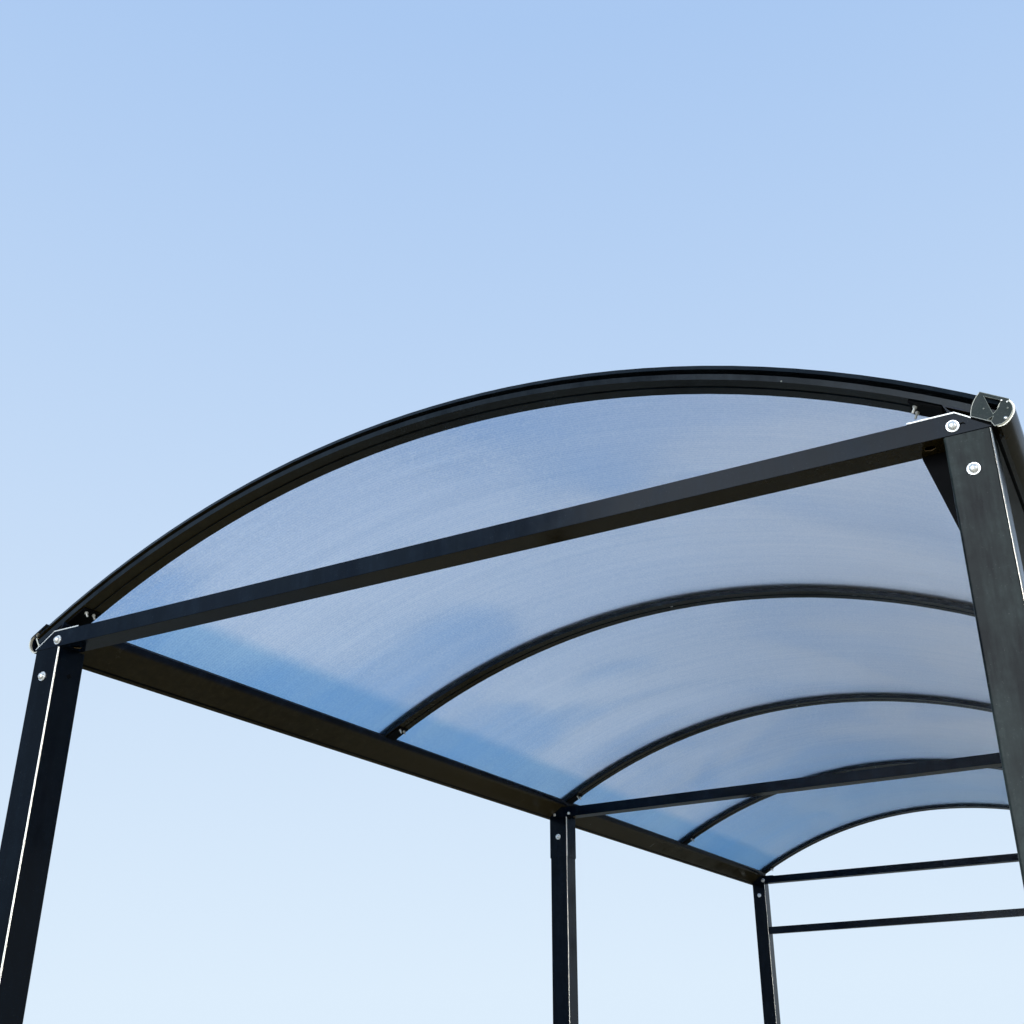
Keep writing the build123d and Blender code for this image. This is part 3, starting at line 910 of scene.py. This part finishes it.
def anchor_nut(work):
    """Hexagon nut on a washer, with the end of the anchor through it."""
    radius, height = ANCHOR_WASHER_RADIUS, ANCHOR_WASHER_HEIGHT
    edge = [(radius, height - WASHER_EDGE), (radius - WASHER_EDGE, height)]
    turned(work, [(0, 0), (radius, 0)] + edge + [(0, height)], sides=28)
    hexagon(work, NUT_ACROSS, height, height + NUT_HEIGHT, NUT_CHAMFER)
    anchor = [
        (0, ANCHOR_FOOT),
        (ANCHOR_RADIUS, ANCHOR_FOOT),
        (ANCHOR_RADIUS, ANCHOR_TOP - ANCHOR_CHAMFER),
        (ANCHOR_TIP_RADIUS, ANCHOR_TOP),
        (0, ANCHOR_TOP),
    ]
    turned(work, anchor, sides=16)


def small_screw(work):
    """Pan-head screw with a thin washer."""
    washer = [(0, 0), (0.0065, 0), (0.0065, 0.0012), (0, 0.0012)]
    head = [(0, 0.0012), (0.0045, 0.0012), (0.0045, 0.0026), (0.003, 0.0040), (0, 0.0044)]
    turned(work, washer, sides=20)
    turned(work, head, sides=16)


def rivet(work):
    """Low rivet head."""
    turned(work, [(0, 0), (0.0055, 0), (0.005, 0.0012), (0.003, 0.0022), (0, 0.0026)], sides=16)


def cap_dome_screw(work):
    """Small domed screw in the lower corner of an end cap."""
    head = [(0, 0), (0.0031, 0), (0.0031, 0.0008), (0.0026, 0.0018), (0.0014, 0.0025), (0, 0.0027)]
    turned(work, head, sides=18)


def cap_pin(work):
    """End of a small pin, peened flat."""
    turned(work, [(0, 0), (0.0017, 0), (0.0015, 0.0005), (0, 0.0007)], sides=12)


def hole_plug(work):
    """Low push-in plug in a spare hole, dished in the middle."""
    rim = [(0, 0), (0.0060, 0), (0.0058, 0.0011), (0.0046, 0.0019), (0.0034, 0.0013), (0, 0.0011)]
    turned(work, rim, sides=24)


CLEAT_NUT_ACROSS = 0.0075
CLEAT_NUT_HEIGHT = 0.0040
CLEAT_NUT_CHAMFER = 0.0005


def cleat_bolt(work):
    """Short hexagon nut with the bolt end through it, which hangs below a cleat."""
    hexagon(work, CLEAT_NUT_ACROSS, 0.0, CLEAT_NUT_HEIGHT, CLEAT_NUT_CHAMFER)
    end = [(0, 0.003), (0.0023, 0.003), (0.0023, 0.0137), (0.0017, 0.0145), (0, 0.0145)]
    turned(work, end, sides=12)


FIXING_SEED = 3


def set_fixings(name, shape, spots, slot="zinc_fixings", material=zinc):
    """Fixings at a list of (place, outward direction), by instances on points."""
    points = bpy.data.meshes.new(name + "_points")
    points.from_pydata([place for place, _ in spots], [], [])
    direction = points.attributes.new("outward", "FLOAT_VECTOR", "POINT")
    for index, (_, outward) in enumerate(spots):
        direction.data[index].vector = outward
    body = bpy.data.objects.new(name + "_shape", new_mesh(name + "_shape", shape))
    tree = Tree("fixings")
    model = tree.input("Fixing", "NodeSocketObject", body)
    seed = tree.count("Seed", FIXING_SEED)
    name_of_outward = {"Name": "outward"}
    outward = tree.node("GeometryNodeInputNamedAttribute", name_of_outward, data_type="FLOAT_VECTOR")
    aim = {"Vector": outward.outputs["Attribute"]}
    turn = tree.node("FunctionNodeAlignRotationToVector", aim, axis="Z").outputs[0]
    # Inputs 2 and 3 are the least and the most of a plain number
    limits = {"Seed": seed, 2: 0.0, 3: math.tau}
    spin = tree.node("FunctionNodeRandomValue", limits, data_type="FLOAT").outputs[1]
    about = {"Axis": (0, 0, 1), "Angle": spin}
    twist = tree.node("FunctionNodeAxisAngleToRotation", about).outputs[0]
    both = {"Rotation": turn, "Rotate By": twist}
    rotated = tree.node("FunctionNodeRotateRotation", both, rotation_space="LOCAL").outputs[0]
    copies = {
        "Points": tree.source.outputs["Geometry"],
        "Instance": tree.node("GeometryNodeObjectInfo", {"Object": model}).outputs["Geometry"],
        "Rotation": rotated,
    }
    placed = tree.node("GeometryNodeInstanceOnPoints", copies).outputs[0]
    piece = tree.make(name, placed, material, start=points)
    bpy.data.objects.remove(body)
    ride_root(piece, slot)


# Places of the fixings

SLEEVE_PROUD = 0.0032
POST_BOLT_DROP = 0.070
MIDDLE_BOLT_DROP = 0.082
BEAM_BOLT_X = {-1: HALF_WIDTH - 0.072, 1: HALF_WIDTH - 0.061}
BEAM_BOLT_LIFT = 0.0170
MIDDLE_BEAM_BOLT_X = (HALF_WIDTH - 0.022, HALF_WIDTH - 0.091)
MIDDLE_BEAM_BOLT_LIFT = 0.013


def post_bolt_spots():
    """One bolt near the head of each post, and one more on the back of the far posts."""
    spots = []
    drops = [POST_BOLT_DROP, MIDDLE_BOLT_DROP, POST_BOLT_DROP]
    proud = [0.0, SLEEVE_PROUD, 0.0]
    for y, drop, out in zip(FRAME_Y, drops, proud):
        for side in (-1, 1):
            spots.append(((side * POST_X, y - out, HEAD_HEIGHT - drop), (0, -1, 0)))
    for side in (-1, 1):
        spots.append(((side * POST_X, FRAME_END, HEAD_HEIGHT - POST_BOLT_DROP), (0, 1, 0)))
    return spots


def beam_bolt_spots():
    """A bolt near each end of the near and far tie beams, and on the back of the far one."""
    spots = []
    height = HEAD_HEIGHT + BEAM_BOLT_LIFT
    for side in (-1, 1):
        for y in (FRAME_Y[0], FRAME_Y[2]):
            spots.append(((side * BEAM_BOLT_X[side], y, height), (0, -1, 0)))
        spots.append(((side * BEAM_BOLT_X[side], FRAME_Y[2] + BEAM_DEPTH, height), (0, 1, 0)))
    return spots


def middle_beam_bolt_spots():
    """Smaller bolts, two on each end of the middle tie beam."""
    height = HEAD_HEIGHT + MIDDLE_BEAM_BOLT_LIFT
    places = [(side * x, FRAME_Y[1], height) for side in (-1, 1) for x in MIDDLE_BEAM_BOLT_X]
    return [(place, (0, -1, 0)) for place in places]


CLEAT_THICKNESS = 0.004
CLEAT_BOLT_INWARD = 0.143
CLEAT_BOLT_HALF_GAP = 0.011


def cleat_bolt_spots():
    """Two bolt ends side by side under the foot of each bar."""
    spots = []
    for side in (-1, 1):
        x, z = roof_point(CLEAT_BOLT_INWARD, -CLEAT_THICKNESS - SHEET_CLEARANCE, side)
        inwards = Vector((-x, 0, ARCH_CENTRE_Z - z)).normalized()
        for y in BAR_Y:
            for step in (-1, 1):
                spots.append(((x, y + step * CLEAT_BOLT_HALF_GAP, z), inwards))
    return spots


def rivet_spots():
    """Rivet on the middle line of the slot, at the crown of each bar between the end bars."""
    crown = ARCH_CENTRE_Z + ARCH_RADIUS + SLOT_DEPTH
    return [((0.0, y, crown), (0, 0, -1)) for y in BAR_Y[1:-1]]


FACE_PIN_ANGLE = 0.367
FACE_PIN_RISE = 0.0019


def bar_face_pin_spots():
    """A small pin low on the outward face of each end bar."""
    radius = ARCH_RADIUS + FACE_PIN_RISE
    x = radius * math.sin(FACE_PIN_ANGLE)
    z = ARCH_CENTRE_Z + radius * math.cos(FACE_PIN_ANGLE)
    return [((-side * x, side * EAVES_END, z), (0, side, 0)) for side in (-1, 1)]


CAP_SCREW_COUNT = 8
CAP_SCREW_END_ANGLE = 0.06


def cap_screw_spots():
    """Screws along the top of each bar cap."""
    spots = []
    top = ARCH_RADIUS + BAR_HEIGHT + SHEET_THICKNESS + 2 * SHEET_CLEARANCE + CAP_HEIGHT
    reach = SEAT_ANGLE - CAP_SCREW_END_ANGLE
    for y in BAR_Y:
        for index in range(CAP_SCREW_COUNT):
            angle = -reach + 2 * reach * index / (CAP_SCREW_COUNT - 1)
            place = (top * math.sin(angle), y, ARCH_CENTRE_Z + top * math.cos(angle))
            spots.append((place, (math.sin(angle), 0, math.cos(angle))))
    return spots


# Places on the end caps, outwards from the middle and up from the post heads
CAP_SCREWS = [(1.1645, 0.0122)]
CAP_PINS = [(1.1330, 0.0395), (1.1708, 0.0301)]
CAP_EDGE_PINS = [(1.1640, 0.0472), (1.1722, 0.0422)]


def end_cap_spots(places):
    """The same places on the outward face of every end cap."""
    spots = []
    for node in END_CAPS:
        low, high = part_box(node)
        side = 1 if high[0] > 0 else -1
        outward = 1 if high[1] > 0 else -1
        y = high[1] if outward > 0 else low[1]
        for x, lift in places:
            spots.append(((side * x, y, HEAD_HEIGHT + lift), (0, outward, 0)))
    return spots


PLUG_INWARD = 0.043
PLUG_DROP = 0.066


def plug_spots():
    """Plug in the inner face of the near left post."""
    return [((POST_SIZE - HALF_WIDTH, NEAR_FACE + PLUG_INWARD, HEAD_HEIGHT - PLUG_DROP), (1, 0, 0))]


ANCHOR_HALF_SPACING = 0.075
FOOT_PLATE_THICKNESS = 0.010


def anchor_spots():
    """Two anchors on the foot plate of each post, one on each side of it."""
    spots = []
    for y in FRAME_Y:
        for side in (-1, 1):
            for step in (-1, 1):
                x = side * POST_X + step * ANCHOR_HALF_SPACING
                spots.append(((x, y + POST_SIZE / 2, FOOT_PLATE_THICKNESS), (0, 0, 1)))
    return spots


# Studio

FLOOR_REACH = 60.0
# Name, place, aim, size in metres, power in watts and tone of each lamp
LAMPS = (
    ("front_softbox", (-0.7, -10.5, 3.95), (0, -2.7, 2.1), (5.0, 5.5), 500, (0.86, 0.94, 1.0)),
    ("far_softbox", (-6.0, -10.5, 6.2), (0, -2.7, 2.1), (4.6, 3.4), 46, (0.55, 0.76, 1.0)),
    ("side_softbox", (8.0, -7.2, 3.3), (0, -2.5, 2.1), (1.6, 4.4), 260, (1.0, 0.98, 0.94)),
)


def add_softbox(name, place, aim, size, power, tone):
    """A wide rectangular lamp, turned to its aim."""
    data = bpy.data.lights.new(name, "AREA")
    data.color = tone
    data.shape = "RECTANGLE"
    data.size, data.size_y = size
    data.energy = power
    lamp = place_object(name, data)
    lamp.location = place
    lamp.rotation_euler = (Vector(aim) - Vector(place)).to_track_quat("-Z", "Y").to_euler()


def floor_square(work):
    """One large face at height zero."""
    corners = ((-1, -1), (1, -1), (1, 1), (-1, 1))
    work.faces.new([work.verts.new((x * FLOOR_REACH, y * FLOOR_REACH, 0)) for x, y in corners])


def make_floor():
    """Pale floor, wide enough to pass out of sight."""
    r = Recipe("pale_floor")
    finish = r.finish(
        Base_Color=r.blend(r.noise(2.0, 3.0), colour(0.53, 0.45, 0.31), colour(0.58, 0.50, 0.36)),
        Roughness=r.span(r.noise(9.0), 0.3, 0.7, 0.6, 0.75),
    )
    floor = place_object("studio_floor", new_mesh("studio_floor", floor_square))
    floor.data.materials.append(finish)


LOW_TONE = colour(0.72, 0.85, 0.98)
HIGH_TONE = colour(0.40, 0.58, 0.88)
BEHIND_TONE = colour(0.20, 0.32, 0.50)
BEHIND_SHARE = 0.75
FILL_STRENGTH = 0.4
# Parts of the direction, up and along the shelter, between which the tones change
HEIGHTS = (0.05, 0.75)
BEHIND = (0.1, -0.7)


def light_world():
    """Plain soft light from all round, with a pale background that deepens with height."""
    world = bpy.data.worlds.new("studio")
    bpy.context.scene.world = world
    world.use_nodes = True
    w = Nodes(world.node_tree)
    ray = w.node("ShaderNodeLightPath").outputs
    seen = w.math("MAXIMUM", ray["Is Camera Ray"], ray["Is Glossy Ray"])
    seen = w.math("MAXIMUM", seen, ray["Is Transmission Ray"])
    direction = w.node("ShaderNodeTexCoord").outputs["Generated"]
    tone = w.blend(w.span(w.part(direction, "Z"), *HEIGHTS), LOW_TONE, HIGH_TONE)
    behind = w.span(w.part(direction, "Y"), *BEHIND, 0.0, BEHIND_SHARE)
    background = w.tree.nodes["Background"].inputs
    w.put(background["Color"], w.blend(behind, tone, BEHIND_TONE))
    w.put(background["Strength"], w.span(seen, 0.0, 1.0, FILL_STRENGTH, 1.0))


CAMERA_PLACE = (1.2632, -4.5039, 1.2442)
CAMERA_TURN = (114.9275, 1.5676, 26.4574)
LENS = 40.17
SENSOR_WIDTH = 36.0
SHIFT = (-0.0794, 0.0105)


def place_camera():
    """The camera at the photo's viewing angle."""
    data = bpy.data.cameras.new("viewer")
    data.lens = LENS
    data.sensor_width = SENSOR_WIDTH
    data.shift_x, data.shift_y = SHIFT
    camera = place_object("viewer", data)
    camera.location = CAMERA_PLACE
    camera.rotation_euler = [math.radians(angle) for angle in CAMERA_TURN]
    bpy.context.scene.camera = camera


dress_frame()
for index in range(1, BAR_COUNT):
    make_twin_wall_sheet("roof_sheet_" + str(index))
for node in END_CAPS:
    make_end_cap(node)
set_fixings("post_bolts", dome_bolt, post_bolt_spots())
set_fixings("beam_bolts", dome_bolt, beam_bolt_spots())
set_fixings("middle_beam_bolts", small_screw, middle_beam_bolt_spots())
set_fixings("cleat_bolts", cleat_bolt, cleat_bolt_spots(), material=dull_zinc)
set_fixings("end_cap_screws", cap_dome_screw, end_cap_spots(CAP_SCREWS))
set_fixings("end_cap_pins", cap_pin, end_cap_spots(CAP_PINS), material=worn_alloy)
set_fixings("end_cap_edge_pins", cap_pin, end_cap_spots(CAP_EDGE_PINS), material=dull_zinc)
set_fixings("bar_face_pins", cap_pin, bar_face_pin_spots(), material=worn_alloy)
set_fixings("post_plugs", hole_plug, plug_spots(), slot="closure_rubber", material=dull_and_shaded_coat)
set_fixings("soffit_rivets", rivet, rivet_spots())
set_fixings("cap_screws", small_screw, cap_screw_spots())
set_fixings("anchor_nuts", anchor_nut, anchor_spots())
make_floor()
light_world()
for lamp in LAMPS:
    add_softbox(*lamp)
place_camera()
bpy.context.scene.view_settings.view_transform = "Standard"
